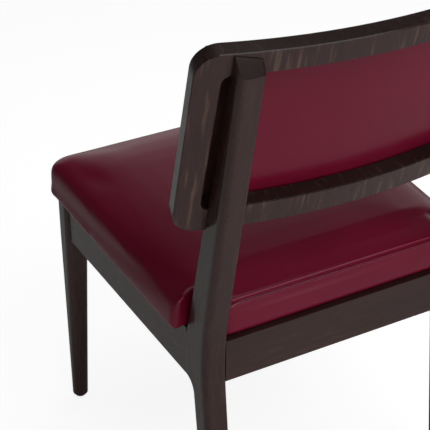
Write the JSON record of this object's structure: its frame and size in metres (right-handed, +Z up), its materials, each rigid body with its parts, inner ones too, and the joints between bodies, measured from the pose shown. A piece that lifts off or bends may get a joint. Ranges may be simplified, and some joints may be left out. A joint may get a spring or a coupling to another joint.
{
  "type": "restaurant side chair",
  "caption": "Armless dining chair with splayed rear legs, a bent open-framed back holding a padded panel, and a boxed upholstered seat on a wooden rail frame.",
  "frame": {"origin": "floor level under the middle of the chair's bounding box", "axes": "+Z up; -Y is the front of the chair, where a sitter faces; +X is the sitter's left"},
  "size_m": [0.5078, 0.561, 0.8618],
  "materials": {
    "stained_wood": "dark brown stained beech under satin lacquer",
    "raw_wood": "unfinished beech",
    "plywood": "raw birch plywood",
    "zinc_steel": "zinc-plated steel",
    "foam": "polyurethane upholstery foam",
    "burgundy_vinyl": "satin burgundy coated fabric",
    "black_lining": "black non-woven lining",
    "clip_plastic": "natural nylon",
    "glide_plastic": "black nylon"
  },
  "bodies": {
    "root": {"front_leg_left": "stained_wood", "front_leg_right": "stained_wood", "rear_leg_left": "stained_wood", "rear_leg_right": "stained_wood", "front_rail": "stained_wood", "rear_rail": "stained_wood", "side_rail_left": "stained_wood", "side_rail_right": "stained_wood", "back_frame": "stained_wood", "corner_block_front_left": "raw_wood", "corner_block_front_right": "raw_wood", "corner_block_rear_left": "raw_wood", "corner_block_rear_right": "raw_wood", "rail_dowels": "raw_wood", "back_dowels": "raw_wood", "seat_board": "plywood", "back_pad_board": "stained_wood", "corner_block_screws": "zinc_steel", "seat_screws": "zinc_steel", "seat_foam": "foam", "back_pad_foam": "foam", "seat_cover": "burgundy_vinyl", "back_pad_cover": "burgundy_vinyl", "back_pad_rear_cover": "burgundy_vinyl", "seat_dust_cover": "black_lining", "back_pad_clips": "clip_plastic", "foot_glide_front_left": "glide_plastic", "foot_glide_front_right": "glide_plastic", "foot_glide_rear_left": "glide_plastic", "foot_glide_rear_right": "glide_plastic"}
  },
  "joints": []
}
